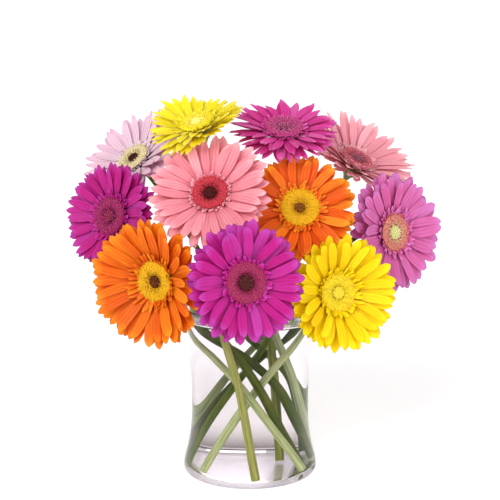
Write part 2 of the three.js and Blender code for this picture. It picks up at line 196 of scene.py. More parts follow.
class Surface:
    """Gathers grids and copies of small forms into one mesh, with values its material reads."""

    def __init__(self):
        self.points = []
        self.faces = []
        self.values = []
        self.corners = []
        self.size = 0
        self.cells = 0

    def add(self, points, faces, along, across, tone):
        """Adds points, with their place along and across the form, and one tone for it."""
        count = len(points)
        values = [np.broadcast_to(np.asarray(v, float), (count,)) for v in (along, across, tone)]
        self.points.append(points)
        self.values.append(np.stack(values, axis=-1))
        self.faces.extend([tuple(i + self.size for i in face) for face in faces])
        self.size += count

    def grid(self, points, along, across, tone, around=False, outward=True):
        """Adds a rows by columns grid of points as quads; around joins its last column to its first."""
        rows, columns = points.shape[:2]
        faces = []
        for i in range(rows - 1):
            for j in range(columns if around else columns - 1):
                k = (j + 1) % columns
                face = (i * columns + j, i * columns + k, (i + 1) * columns + k, (i + 1) * columns + j)
                faces.append(face if outward else face[::-1])
                if not around:
                    self.corners.append((self.cells, rows - 1, columns - 1, i, j, outward))
        self.cells += 1
        spread = [np.broadcast_to(v, (rows, columns)).ravel() for v in (along, across, tone)]
        self.add(points.reshape(-1, 3), faces, *spread)

    def build(self, name, to_row):
        """Makes the object, with its points taken from mm on its own axes to the row's metres."""
        points = np.vstack(self.points)
        points = points @ to_row[:, :3].T + to_row[:, 3]
        mesh = bpy.data.meshes.new(name)
        mesh.from_pydata((points * MM).tolist(), [], self.faces)
        mesh.shade_smooth()
        values = np.vstack(self.values)
        for k, label in enumerate(("along", "across", "tone")):
            layer = mesh.attributes.new(label, "FLOAT", "POINT")
            layer.data.foreach_set("value", values[:, k].astype(np.float32))
        if len(self.corners) == len(self.faces):
            self.map_cells(mesh)
        piece = bpy.data.objects.new(name, mesh)
        bpy.context.scene.collection.objects.link(piece)
        return piece

    def map_cells(self, mesh):
        """Gives each grid its own upright cell of a map, so that no two petals share a place."""
        wide = math.ceil(math.sqrt(self.cells * 4))
        high = math.ceil(self.cells / wide)
        cell, rows, columns, i, j, outward = np.array(self.corners, float).T
        steps = np.array([(0, 0), (0, 1), (1, 1), (1, 0)], float)
        order = np.where(outward[:, None] > 0, [[0, 1, 2, 3]], [[3, 2, 1, 0]])
        u = (j[:, None] + steps[order][..., 1]) / columns[:, None]
        v = (i[:, None] + steps[order][..., 0]) / rows[:, None]
        u = (cell[:, None] % wide + 0.05 + 0.9 * u) / wide
        v = (np.floor(cell[:, None] / wide) + 0.05 + 0.9 * v) / high
        layer = mesh.uv_layers.new(name="OFBake")
        layer.data.foreach_set("uv", np.stack([u, v], axis=-1).astype(np.float32).ravel())


IN_PLACE = np.hstack([np.eye(3), np.zeros((3, 1))])


def place(piece, material, node=None):
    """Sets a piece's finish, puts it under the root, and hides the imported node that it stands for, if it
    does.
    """
    piece.data.materials.append(material)
    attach(piece, "root")
    if node:
        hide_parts(node)


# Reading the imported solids

def node_triangles(name):
    """The three corners of each of a node's triangles, in mm."""
    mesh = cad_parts[name].data
    mesh.calc_loop_triangles()
    points = np.array([v.co for v in mesh.vertices], float) / MM
    return points[np.array([t.vertices for t in mesh.loop_triangles])]


def bloom_axes(name):
    """The bloom's axes, from its disc's flat underside, as columns side, up, facing and centre."""
    triangles = node_triangles(f"disc_{name}")
    crosses = np.cross(triangles[:, 1] - triangles[:, 0], triangles[:, 2] - triangles[:, 0]) / 2
    areas = np.linalg.norm(crosses, axis=1)
    groups = defaultdict(list)
    for i, normal in enumerate(np.round(crosses / areas[:, None], 2)):
        groups[tuple(normal)].append(i)
    flat = max(groups.values(), key=lambda group: areas[group].sum())
    facing = -crosses[flat].sum(axis=0)
    facing /= np.linalg.norm(facing)
    weights = areas[flat] / areas[flat].sum()
    centre = (triangles[flat].mean(axis=1) * weights[:, None]).sum(axis=0) - CLEARANCE * facing
    side = np.cross((0, 0, 1), facing)
    side /= np.linalg.norm(side)
    return np.column_stack([side, np.cross(facing, side), facing, centre])


def widest(name, axes):
    """How far a node reaches from its bloom's axis."""
    points = node_triangles(name).reshape(-1, 3) - axes[:, 3]
    return np.hypot(points @ axes[:, 0], points @ axes[:, 1]).max()


def neighbours_of(name):
    """A node's corner points in mm, each with the points that an edge joins to it."""
    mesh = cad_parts[name].data
    keys = [tuple(round(c / MM, 3) for c in v.co) for v in mesh.vertices]
    joined = defaultdict(set)
    for edge in mesh.edges:
        a, b = (keys[i] for i in edge.vertices)
        joined[a].add(b)
        joined[b].add(a)
    return joined


def stem_rings(name):
    """The middles and radii of a stem's rings of corners, from its cut end up to its calyx."""
    joined = neighbours_of(f"stem_{name}")
    lowest = min(key[2] for key in joined)
    level = {key for key in joined if key[2] < lowest + 0.01}
    seen = set(level)
    middles = []
    radii = []
    for _ in range(STEM_LEVELS):
        corners = np.array(list(level))
        middles.append(corners.mean(axis=0))
        radii.append(np.median(np.linalg.norm(corners - middles[-1], axis=1)))
        level = {n for key in level for n in joined[key]} - seen
        seen |= level
    return np.array(middles), np.array(radii)


def vase_profile():
    """The vase's outline as radius and height, from its foot over the rim to its inside floor."""
    joined = neighbours_of("vase")
    here = {key for key in joined if abs(key[1]) < 0.01 and key[0] > 1}
    point = max((key for key in here if key[2] < 0.01), key=lambda key: key[0])
    line = []
    while point:
        line.append((point[0], point[2]))
        here.discard(point)
        onward = joined[point] & here
        point = onward.pop() if onward else None
    return line


# Petals

Petal = namedtuple("Petal", "angle bend cup radius height length width roll twist droop edge point tone")


def petal_outline(at, point):
    """A petal's half width along its length, from 1 at its widest; point is 0 for a blunt tip."""
    root = 0.4 + 0.6 * smooth(at / 0.5)
    tip = np.clip(1 - np.clip(at * 2 - 1, 0, 1) ** (4.6 - 2.6 * point), 0.0004, 1) ** (0.55 + 0.4 * point)
    return root * tip


def add_petal(surface, petal, fineness):
    """Adds one grooved petal as an upper and an under face that meet along its edge."""
    rows, columns = fineness
    start = -ROOT_SUNK / petal.length
    step = np.linspace(0, 1, rows + 1)[:, None]
    at = start + (1 - start) * (1 - (1 - step) ** 1.5)
    across = np.linspace(-1, 1, columns + 1)[None, :]
    grown = np.clip(at, 0, 1)
    out = petal.length * at
    slope = math.tan(petal.cup) + math.tan(ARCH) * (1 - at)
    height = petal.height + out * slope + petal.droop * grown ** 3
    angle = petal.angle + petal.bend * grown ** 2
    roll = petal.roll + petal.twist * grown
    width = petal.width / 2 * petal_outline(at, petal.point)
    fade = smooth(at / 0.15) * smooth((1 - at) / 0.12)
    wave = np.cos(WAVES * math.pi * across)
    lift = petal.edge * across ** 2 * smooth(at / 0.4) + GROOVE_DEPTH * fade * wave
    notch = NOTCH_DEPTH * smooth((at - 0.9) / 0.1) * (0.5 - 0.5 * wave)
    middle_radius = petal.radius + out - notch
    side = across * width
    radial = np.concatenate([np.cos(angle), np.sin(angle), 0 * angle], axis=1)[:, None, :]
    level = np.concatenate([-np.sin(angle), np.cos(angle), 0 * angle], axis=1)[:, None, :]
    up = np.array([0, 0, 1.0])
    leaning = np.cos(roll)[..., None] * level + np.sin(roll)[..., None] * up
    rising = np.cos(roll)[..., None] * up - np.sin(roll)[..., None] * level
    base = middle_radius[..., None] * radial + height[..., None] * up
    top = base + side[..., None] * leaning + lift[..., None] * rising
    thickness = PETAL_THICKNESS * np.sqrt(1 - across ** 2) * smooth((1 - at) / 0.05) * smooth(step / 0.1)
    under = top - thickness[..., None] * rising
    surface.grid(top, grown, across, petal.tone)
    surface.grid(under, grown, across, petal.tone + 2, outward=False)


def layer_petals(layer, bloom, draw, rng):
    """The petals of one layer. Those that are solids in the part keep its spread; draw gives it."""
    for i in range(layer.count):
        loose = rng.normal(size=7)
        angle = (i * PETALS_PER_LAYER / layer.count + layer.turn) * PITCH
        angle += (layer.loose - 1) * 0.12 * PITCH * loose[6]
        bend, cup, size = (next(draw) for _ in range(3))
        own_cup = bloom.cup + layer.cup + bloom.saddle * math.cos(2 * angle)
        yield Petal(
            angle=angle,
            bend=bend * SPREAD_BEND * layer.loose,
            cup=own_cup * DEGREE + cup * SPREAD_CUP * layer.loose,
            radius=layer.radius,
            height=layer.height,
            length=(bloom.reach * layer.length - layer.radius) * (1 + size * SPREAD_LENGTH * layer.loose),
            width=bloom.width * layer.width * (1 + SPREAD_WIDTH * loose[0]),
            roll=loose[1] * SPREAD_ROLL,
            twist=loose[2] * SPREAD_TWIST,
            droop=loose[3] * SPREAD_DROOP,
            edge=0.55 + 0.35 * loose[4],
            point=bloom.point,
            tone=np.clip(0.5 + 0.2 * loose[5], 0, 1),
        )


def short_petals(bloom, rng):
    """The narrow short rays round the disc, in two rows, the inner one shorter and steeper."""
    for shift, row in enumerate(SHORT_ROWS):
        for i in range(row.count):
            loose = rng.normal(size=6)
            angle = (i + shift / 2 + 0.2 * loose[0]) * TURN / row.count
            yield Petal(
                angle=angle,
                bend=loose[1] * 6 * DEGREE,
                cup=(bloom.cup + bloom.saddle * math.cos(2 * angle) + row.steep + 6 * loose[2]) * DEGREE,
                radius=SHORT_ROOT[0],
                height=SHORT_ROOT[1],
                length=(bloom.short + SHORT_SUNK) * row.reach * (1 + 0.14 * loose[3]),
                width=3.1 + 0.3 * loose[4],
                roll=loose[1] * 8 * DEGREE,
                twist=loose[2] * 14 * DEGREE,
                droop=-0.5,
                edge=0.5,
                point=0.6,
                tone=np.clip(0.5 + 0.25 * loose[5], 0, 1),
            )


def make_rays(name, bloom, axes):
    """The bloom's four layers of long petals, and its short rays as a piece of their own."""
    rng = np.random.default_rng(bloom.seed)
    draw = seeded_draw(bloom.seed)
    surface = Surface()
    for layer in (OUTER, INNER, BACK, FRONT):
        for petal in layer_petals(layer, bloom, draw, rng):
            add_petal(surface, petal, layer.fineness)
    petals = surface.build(f"petals_{name}", axes)
    place(petals, petal_material(name), f"rays_{name}")
    inner = Surface()
    for petal in short_petals(bloom, rng):
        add_petal(inner, petal, SHORT_FINENESS)
    short_rays = inner.build(f"short_rays_{name}", axes)
    place(short_rays, short_ray_material(name))


# Florets of the disc and buds of the eye

def ring(sides, radius, height):
    """Points in a level circle round the axis."""
    angles = np.arange(sides) * TURN / sides
    return np.column_stack([radius * np.cos(angles), radius * np.sin(angles), np.full(sides, height)])


def band(first, second, sides):
    """The quads between two rings, by the numbers of their first points."""
    return [
        (first + i, first + (i + 1) % sides, second + (i + 1) % sides, second + i)
        for i in range(sides)
    ]


def open_floret():
    """A tube that opens into five small lobes, with its style standing in it."""
    lobes = ring(10, 0.62, 1.55)
    lobes[::2] = ring(5, 1.12, 1.95)
    points = np.vstack([
        ring(10, 0.4, -0.6), ring(10, 0.46, 1.1), lobes, [[0, 0, 0.7]],
        ring(4, 0.16, 0.7), ring(4, 0.2, 2.3), [[0, 0, 2.75]],
    ])
    faces = band(0, 10, 10) + band(10, 20, 10)
    faces += [(30, 20 + (i + 1) % 10, 20 + i) for i in range(10)]
    faces += band(31, 35, 4) + [(35 + i, 35 + (i + 1) % 4, 39) for i in range(4)]
    tube = [np.zeros(10), np.full(10, 0.4), np.tile([1, 0.7], 5), [0.1]]
    return points, faces, np.concatenate(tube + [np.full(4, 0.2), np.full(5, 0.9)])


def closed_bud():
    """A floret that is still shut, with a low point."""
    points = np.vstack([ring(6, 0.5, -0.5), ring(6, 0.62, 0.3), ring(6, 0.42, 0.95), [[0, 0, 1.15]]])
    faces = band(0, 6, 6) + band(6, 12, 6) + [(12 + i, 12 + (i + 1) % 6, 18) for i in range(6)]
    return points, faces, np.concatenate([np.zeros(6), np.full(6, 0.4), np.full(6, 0.8), [1]])


def strew(surface, form, radii, profile, rng, lean, size):
    """Sets copies of a form round the axis at a sunflower's angles, each standing off the profile.

    They tip outward by the degrees in lean, its first for the innermost and its last for the outermost.
    """
    points, faces, along = form
    distances, heights = np.array(profile, float).T
    low, high = radii.min(), radii.max()
    for i, radius in enumerate(radii):
        angle = i * GOLDEN_ANGLE + rng.normal() * 0.08
        height = np.interp(radius, distances, heights)
        tip = (lean[0] + (lean[1] - lean[0]) * (radius - low) / (high - low) + rng.normal() * 6) * DEGREE
        axis = np.array([math.cos(angle) * math.sin(tip), math.sin(angle) * math.sin(tip), math.cos(tip)])
        level = np.array([-math.sin(angle), math.cos(angle), 0])
        spin = rng.uniform(0, TURN)
        first = math.cos(spin) * level + math.sin(spin) * np.cross(axis, level)
        turned = np.column_stack([first, np.cross(axis, first), axis])
        scale = size * (1 + 0.1 * rng.normal())
        centre = np.array([radius * math.cos(angle), radius * math.sin(angle), height])
        outness = (radius - low) / (high - low)
        surface.add(points @ turned.T * scale + centre, faces, along, outness, rng.uniform())


def lathe_rows(profile, sides):
    """Rings of points round the axis for a profile of radius and height."""
    radius, height = np.array(profile, float).T
    angles = np.arange(sides) * TURN / sides
    return np.stack([
        radius[:, None] * np.cos(angles), radius[:, None] * np.sin(angles),
        np.broadcast_to(height[:, None], (len(radius), sides)),
    ], axis=-1)


def make_disc(name, bloom, axes):
    """A cushion under the florets, and the florets in it, leaning out more the further out they are."""
    rng = np.random.default_rng(bloom.seed + 100)
    outer = widest(f"disc_{name}", axes) + 2
    inner = widest(f"eye_{name}", axes) + 1
    profile = [
        (0.02, 1.2), (inner - 1, 1.2), (inner + 1.4, 3.2), (outer - 3.6, 3.9), (outer - 1.6, 2.6),
        DISC_FOOT,
    ]
    surface = Surface()
    rows = lathe_rows(spline(profile, 4), DISC_SIDES)
    surface.grid(rows[::-1], 0, 0.5, 0.5, around=True)
    count = round(FLORET_CROWDING * (outer ** 2 - inner ** 2))
    share = (np.arange(count) + 0.5) / count
    radii = np.sqrt(inner ** 2 + share * ((outer - 0.6) ** 2 - inner ** 2))
    crown = [(inner - 1, 2.2), (inner + 1.4, 3.3), (outer - 3.4, 3.9), (outer - 1.6, 2.7), (outer, 1.6)]
    strew(surface, open_floret(), radii, crown, rng, (-12, 62), FLORET_SIZE)
    florets = surface.build(f"florets_{name}", axes)
    place(florets, floret_material(name), f"disc_{name}")
    return inner - 1


def make_eye(name, bloom, axes, radius):
    """A dome in the disc's dimple, and the buds on it."""
    rng = np.random.default_rng(bloom.seed + 200)
    base = DISC_DIMPLE + CLEARANCE
    top = base + EYE_HEIGHT
    dome = [(0.02, top - 1), (radius * 0.5, top - 1.3), (radius * 0.85, base + 0.9), (radius, base - 0.4)]
    surface = Surface()
    surface.grid(lathe_rows(spline(dome, 3), EYE_SIDES)[::-1], 0, 0.5, 0.5, around=True)
    count = round(BUD_CROWDING * radius ** 2)
    radii = radius * 0.96 * np.sqrt((np.arange(count) + 0.5) / count)
    strew(surface, closed_bud(), radii, [(r, h - 0.1) for r, h in dome], rng, (0, 55), BUD_SIZE)
    buds = surface.build(f"buds_{name}", axes)
    place(buds, eye_material(name), f"eye_{name}")


# Stems and bracts

def turned_ring_frames(line):
    """For each point of a line, two directions across it that turn as little as they can."""
    tangents = np.gradient(line, axis=0)
    tangents /= np.linalg.norm(tangents, axis=1)[:, None]
    side = np.cross((0, 1, 0), tangents[0])
    sides = []
    for tangent in tangents:
        side = side - tangent * (side @ tangent)
        side /= np.linalg.norm(side)
        sides.append(side)
    return np.array(sides), np.cross(tangents, np.array(sides))


def make_stem(name, bloom, axes):
    """A stem with shallow ribs, its cut end, and the green cup that carries the petals."""
    rng = np.random.default_rng(bloom.seed + 300)
    middles, radii = stem_rings(name)
    line = spline(middles, STEM_STEPS)
    runs = np.concatenate([[0], np.cumsum(np.linalg.norm(np.diff(line, axis=0), axis=1))])
    share = runs / runs[-1]
    sides, others = turned_ring_frames(line)
    angles = np.arange(STEM_SIDES) * TURN / STEM_SIDES
    swell = SWELL * np.sin(share * 17 + rng.uniform(0, 6)) * share
    radius = np.interp(np.arange(len(line)) / STEM_STEPS, np.arange(STEM_LEVELS), radii) + swell
    ribs = 1 + RIB_SHARE * np.cos(RIBS * angles)[None, :]
    reach = radius[:, None] * ribs
    points = (
        line[:, None, :] + (reach * np.cos(angles))[..., None] * sides[:, None, :]
        + (reach * np.sin(angles))[..., None] * others[:, None, :]
    )
    surface = Surface()
    spot = np.broadcast_to(angles / TURN, (len(line), STEM_SIDES))
    surface.grid(points, share[:, None], spot, rng.uniform(), around=True)
    end = points[0].mean(axis=0)
    cut = [(STEM_SIDES, (i + 1) % STEM_SIDES, i) for i in range(STEM_SIDES)]
    surface.add(np.vstack([points[0], end]), cut, 0, 0, 0)
    cup = lathe_rows(spline(CUP, 3), CUP_SIDES) @ axes[:, :3].T + axes[:, 3]
    surface.grid(cup, 1, 0.5, 0.5, around=True)
    stalk = surface.build(f"stalk_{name}", IN_PLACE)
    place(stalk, stem_material(name), f"stem_{name}")
    make_bracts(name, axes, rng)


def make_bracts(name, axes, rng):
    """Three rows of pointed bracts that overlap up the cup, their tips standing off it."""
    surface = Surface()
    for shift, (count, low, high) in enumerate(BRACT_ROWS):
        for i in range(count):
            loose = rng.normal(size=4)
            angle = (i + shift / 2 + 0.12 * loose[0]) * TURN / count
            add_bract(surface, angle, low, high + 0.4 * loose[1], 0.5 + 0.1 * loose[2])
    place(surface.build(f"bracts_{name}", axes), bract_material(name))


def add_bract(surface, angle, low, high, lift):
    """One bract bowed round the cup, as an outer and an inner face that meet along its edge."""
    rows, columns = BRACT_FINENESS
    step = np.linspace(0, 1, rows + 1)[:, None]
    across = np.linspace(-1, 1, columns + 1)[None, :]
    height = low + (high - low) * step
    radii, heights = np.transpose([CUP_FOOT, CUP_SHOULDER, CUP_TOP])
    radius = np.interp(height, heights, radii) + lift + 0.9 * step ** 2
    width = 2.3 * np.sqrt(np.clip(1 - step ** 2, 0, 1)) * (0.7 + 0.6 * step) + 0.05
    turn = angle + across * width / radius
    bowed = radius - 0.4 * across ** 2
    thin = 0.5 * np.sqrt(1 - across ** 2) * np.sqrt(np.clip(1 - step, 0, 1))
    level = np.broadcast_to(height, turn.shape)
    tone = 0.5 + 0.4 * math.sin(angle * 7)
    for out, side in ((bowed, 0), (bowed - thin, 2)):
        face = np.stack([out * np.cos(turn), out * np.sin(turn), level], axis=-1)
        surface.grid(face, step, across, tone + side, outward=side == 0)


# Glass and water: how far the water's edge climbs the wall, and how far it laps into the glass

WATER_CREEP = 1.2
WETTING = 0.05


def make_vase(level):
    """The vase as one closed form. Its inside below the water is marked as wet."""
    profile = vase_profile()
    line = spline(profile, 5)
    surface = Surface()
    inside = np.arange(len(line)) > np.argmax(line[:, 1])
    wet = inside & (line[:, 1] < level + WATER_CREEP)
    surface.grid(lathe_rows(line, VASE_SIDES), wet[:, None], 0, 0, around=True)
    cap_ends(surface, line, (0, 1))
    glass = surface.build("vase_glass", IN_PLACE)
    place(glass, clear_material("glass", GLASS_TINT, GLASS_BENDING), "vase")
    return profile


def cap_ends(surface, line, wet):
    """Closes a turned form with a flat round at its first ring and one at its last."""
    for (radius, height), outward, soaked in zip(line[[0, -1]], (False, True), wet):
        points = np.vstack([ring(VASE_SIDES, radius, height), [[0, 0, height]]])
        faces = [(i, (i + 1) % VASE_SIDES, VASE_SIDES) for i in range(VASE_SIDES)]
        surface.add(points, [f if outward else f[::-1] for f in faces], soaked, 0, 0)


def make_water(profile, level):
    """Water that wets the glass, with its edge drawn a little up the wall."""
    rim = max(range(len(profile)), key=lambda i: profile[i][1])
    inside = [(r + WETTING, z - WETTING) for r, z in profile[rim + 1:][::-1]]
    wall = [p for p in spline(inside, 5) if p[1] < level + WATER_CREEP]
    edge = wall[-1][0]
    top = [
        (edge - 0.15, level + WATER_CREEP), (edge - 0.6, level + 0.5),
        (edge - 1.5, level + 0.12), (edge - 3.5, level),
    ]
    line = np.array([tuple(p) for p in wall] + top)
    wet = np.arange(len(line)) < len(wall)
    surface = Surface()
    surface.grid(lathe_rows(line, VASE_SIDES), wet[:, None], 0, 0, around=True)
    cap_ends(surface, line, (1, 0))
    fill = surface.build("water_fill", IN_PLACE)
    place(fill, clear_material("water", WATER_TINT, WATER_BENDING), "water")


# Materials

def colour(text):
    """Red, green and blue as light, from a web colour."""
    parts = [int(text[i:i + 2], 16) / 255 for i in (0, 2, 4)]
    return tuple(c / 12.92 if c <= 0.04045 else ((c + 0.055) / 1.055) ** 2.4 for c in parts) + (1,)


class Nodes:
    """Short ways to add nodes to a tree."""

    def __init__(self, tree):
        self.tree = tree

    def place_in(self, space):
        """Where a point is, or for the sky which way it lies."""
        return self.tree.nodes.new("ShaderNodeTexCoord").outputs[space]

    def split(self, vector):
        node = self.tree.nodes.new("ShaderNodeSeparateXYZ")
        self.feed(node.inputs[0], vector)
        return node.outputs[:3]

    def feed(self, socket, value):
        if isinstance(value, bpy.types.NodeSocket):
            self.tree.links.new(value, socket)
        else:
            socket.default_value = value

    def value(self, name):
        node = self.tree.nodes.new("ShaderNodeAttribute")
        node.attribute_name = name
        return node.outputs["Fac"]

    def math(self, operation, *values):
        node = self.tree.nodes.new("ShaderNodeMath")
        node.operation = operation
        for socket, value in zip(node.inputs, values):
            self.feed(socket, value)
        return node.outputs[0]

    def distance_out(self, spot):
        """How far a point is from the upright axis."""
        across, back, _ = self.split(spot)
        across, back = (self.math("MULTIPLY", side, side) for side in (across, back))
        return self.math("SQRT", self.math("ADD", across, back))

    def vector(self, *values):
        node = self.tree.nodes.new("ShaderNodeCombineXYZ")
        for socket, value in zip(node.inputs, values):
            self.feed(socket, value)
        return node.outputs[0]

    def noise(self, vector, scale, detail):
        node = self.tree.nodes.new("ShaderNodeTexNoise")
        self.feed(node.inputs["Vector"], vector)
        node.inputs["Scale"].default_value = scale
        node.inputs["Detail"].default_value = detail
        return node.outputs["Fac"]

    def ramp(self, factor, *stops):
        node = self.tree.nodes.new("ShaderNodeValToRGB")
        self.feed(node.inputs["Fac"], factor)
        elements = node.color_ramp.elements
        while len(elements) < len(stops):
            elements.new(0.5)
        for element, (position, shade) in zip(elements, stops):
            element.position = position
            element.color = shade
        return node.outputs["Color"]

    def mix(self, factor, first, second):
        node = self.tree.nodes.new("ShaderNodeMix")
        node.data_type = "RGBA"
        self.feed(node.inputs["Factor"], factor)
        self.feed(node.inputs["A"], first)
        self.feed(node.inputs["B"], second)
        return node.outputs["Result"]

    def map(self, value, low, high, to_low=0.0, to_high=1.0):
        node = self.tree.nodes.new("ShaderNodeMapRange")
        for socket, setting in zip(node.inputs, (value, low, high, to_low, to_high)):
            self.feed(socket, setting)
        return node.outputs["Result"]


class Look(Nodes):
    """One material, with what all of them need on top of the tree's own nodes."""

    def __init__(self, name):
        self.material = bpy.data.materials.new(name)
        self.material.use_nodes = True
        super().__init__(self.material.node_tree)
        self.shader = self.tree.nodes["Principled BSDF"]
        self.output = self.tree.nodes["Material Output"]

    def bump(self, height, strength, distance):
        node = self.tree.nodes.new("ShaderNodeBump")
        node.inputs["Strength"].default_value = strength
        node.inputs["Distance"].default_value = distance
        self.feed(node.inputs["Height"], height)
        self.tree.links.new(node.outputs["Normal"], self.shader.inputs["Normal"])

    def set(self, **settings):
        for name, value in settings.items():
            self.feed(self.shader.inputs[name.replace("_", " ")], value)

    def blend(self, factor, first, second):
        """One shader turning into another as the factor goes from 0 to 1."""
        node = self.tree.nodes.new("ShaderNodeMixShader")
        self.feed(node.inputs["Fac"], factor)
        self.tree.links.new(first, node.inputs[1])
        self.tree.links.new(second, node.inputs[2])
        return node.outputs[0]

    def glow_through(self, shade, share):
        """Lets some light through, as thin petals do."""
        through = self.tree.nodes.new("ShaderNodeBsdfTranslucent")
        self.feed(through.inputs["Color"], shade)
        body = self.blend(share, self.shader.outputs[0], through.outputs[0])
        self.tree.links.new(body, self.output.inputs["Surface"])


# Petal colours from root to tip, and a darker one for veins and for painted shade in the grooves
PETAL_LOOKS = {
    "lilac": ("fcf6fa", "fae2ec", "f0cce0", "cc9cbc"),
    "yellow_top": ("f4e024", "f8ee10", "fcf678", "f0d040"),
    "magenta_top": ("cc1c80", "e040a0", "ec84d0", "c8147c"),
    "salmon": ("ee98a8", "f4aeba", "fcdade", "e2889a"),
    "pink": ("ec7e90", "f4a2ae", "fcced4", "da607a"),
    "orange_right": ("e44c06", "ee6c10", "ffba2c", "e03404"),
    "orchid": ("c83080", "de70b0", "dc90d4", "c83c88"),
    "magenta_left": ("a00a66", "cc1a8c", "c84cb8", "980a60"),
    "orange_left": ("dc4806", "ee740c", "ffae26", "d03000"),
    "magenta_front": ("ac0c6e", "ca148e", "cc54c4", "b00c70"),
    "yellow_right": ("f0c400", "f8de02", "fcf01c", "ecbc00"),
}

# Stem colours: of the pale streaks and of the ribs' painted highlight, and of what lies between them
STEM_LOOKS = {
    "lilac": ("5c701c", "32440c"),
    "yellow_top": ("b4bc94", "76864e"),
    "magenta_top": ("92984a", "5a6224"),
    "salmon": ("8c9868", "566238"),
    "pink": ("54600e", "2c3804"),
    "orange_right": ("586c10", "283604"),
    "orchid": ("42520c", "1c2402"),
    "magenta_left": ("4e6010", "283604"),
    "orange_left": ("b0b888", "74824a"),
    "magenta_front": ("a09c5c", "667224"),
    "yellow_right": ("b4ba8a", "788a50"),
}

# Floret colours: of the innermost ones, then the foot, the body and the lobes of those between,
# and of the outermost ones
FLORET_LOOKS = {
    "lilac": ("b89868", "e0d4a0", "f8f0c8", "fffae4", "f4e2c4"),
    "yellow_top": ("faf2a0", "f6e42c", "fcec38", "fff690", "fcee30"),
    "magenta_top": ("c4709a", "ac3068", "d4589a", "f4b4d0", "d85ca4"),
    "salmon": ("a05c6c", "c05068", "e4707c", "f0acb0", "f8bcc0"),
    "pink": ("5c1018", "ac2432", "e04a5a", "f68a92", "ea6070"),
    "orange_right": ("b87c18", "d49a0c", "f4c41e", "ffea64", "fad42c"),
    "orchid": ("e6e6ac", "c87c70", "e09488", "f0c0ac", "e8907c"),
    "magenta_left": ("7c2850", "8c1c50", "b83470", "e4a0c4", "c43c84"),
    "orange_left": ("a87018", "d49a0c", "f4c61e", "ffea64", "fcde34"),
    "magenta_front": ("742434", "8c2048", "c04074", "e48cac", "c8407c"),
    "yellow_right": ("e8d840", "e4c81c", "f6e028", "fff490", "fae430"),
}

# Bud colours of the eye: foot, body and tip
EYE_LOOKS = {
    "lilac": ("240c08", "4c2018", "7c4030"),
    "yellow_top": ("f0e468", "faf2a4", "fffce0"),
    "magenta_top": ("702848", "b05078", "dc8cac"),
    "salmon": ("743848", "a8606e", "c89aa2"),
    "pink": ("2c0808", "641818", "983430"),
    "orange_right": ("60300e", "a45c1a", "c88a2e"),
    "orchid": ("b4b070", "e0dca4", "f0ecc4"),
    "magenta_left": ("681838", "ac3658", "c86c84"),
    "orange_left": ("3c1808", "743818", "a86428"),
    "magenta_front": ("34100f", "642629", "944848"),
    "yellow_right": ("ccb830", "e8d438", "f4e874"),
}

# Glass and water: how much they bend light, their tints, the tint of the glass's foot, and the
# painted shades in its heel and along its lowest edge
GLASS_BENDING = 1.45
WATER_BENDING = 1.33
GLASS_TINT = (0.955, 0.93, 0.945, 1)
WATER_TINT = (0.98, 0.97, 0.975, 1)
FOOT_TINT = (0.99, 0.965, 0.985, 1)
HEEL_PAINTED_SHADE = (0.3, 0.26, 0.26, 1)
EDGE_PAINTED_SHADE = (0.62, 0.56, 0.66, 1)
DRY_MIRROR = (0.3, 0.3, 0.3, 1)
WET_MIRROR = (0, 0, 0, 1)
LET_THROUGH = (0.98, 0.98, 0.98, 1)
FROST = 0.26

# Where the tints, painted shades and frost come in, in metres: each from one height to another, the
# heel's also by depth, toward the back, and the edge's and the frost by distance from the axis
FOOT_HEIGHTS = (0.002, 0.03)
HEEL_HEIGHTS = (0.045, 0.005)
HEEL_END_HEIGHTS = (0.0047, 0.0055)
HEEL_DEPTHS = (0.0, 0.04)
EDGE_HEIGHTS = (0.005, 0.0015)
EDGE_DISTANCES = (0.06, 0.063)
FROST_HEIGHTS = (0.0004, 0.0002)
FROST_DISTANCES = (0.05, 0.045)


def petal_material(name):
    """Fine lengthwise veins and grooves, a root and tip of their own colour, and petals that differ.
    Painted shade darkens the grooves toward the root, and painted light brightens the undersides.
    """
    root, body, tip, groove = (colour(c) for c in PETAL_LOOKS[name])
    look = Look(f"petal_{name}")
    along, across, tone = (look.value(v) for v in ("along", "across", "tone"))
    fibre_place = look.vector(
        look.math("MULTIPLY", across, 7), look.math("MULTIPLY", along, 1.1), look.math("MULTIPLY", tone, 31),
    )
    fibres = look.noise(fibre_place, 2.2, 4)
    blotches = look.noise(fibre_place, 0.6, 2)
    drawn = look.math("ADD", along, look.math("MULTIPLY", look.math("SUBTRACT", blotches, 0.5), 0.35))
    shade = look.ramp(drawn, (0, root), (0.42, body), (0.78, body), (1, tip))
    # Painted shade: the troughs between the ridges darken toward the groove colour, more toward the root
    lines = look.math("COSINE", look.math("MULTIPLY", across, WAVES * math.pi))
    groove_shade = look.math("MULTIPLY", look.map(lines, 0.2, -1.0), look.map(along, 1.0, 0.55, 0.25, 1.0))
    shade = look.mix(look.math("MULTIPLY", groove_shade, 0.42), shade, groove)
    shade = look.mix(look.map(fibres, 0.48, 0.72, 0, 0.35), shade, groove)
    shade = look.mix(look.map(fibres, 0.5, 0.28, 0, 0.3), shade, tip)
    single = look.math("FRACT", tone)
    shade = look.mix(look.map(single, 0.5, 1.0, 0, 0.3), shade, groove)
    shade = look.mix(look.map(single, 0.5, 0.0, 0, 0.45), shade, tip)
    # Painted light: the under faces are lightened toward the tip colour
    under = look.math("GREATER_THAN", tone, 1.5)
    shade = look.mix(look.math("MULTIPLY", under, 0.35), shade, tip)
    look.set(Base_Color=shade, Roughness=look.map(fibres, 0.3, 0.7, 0.45, 0.62))
    look.set(Specular_IOR_Level=0.22)
    look.bump(look.math("ADD", fibres, look.math("MULTIPLY", lines, 0.4)), 0.35, 0.0004)
    look.glow_through(shade, 0.38)
    return look.material


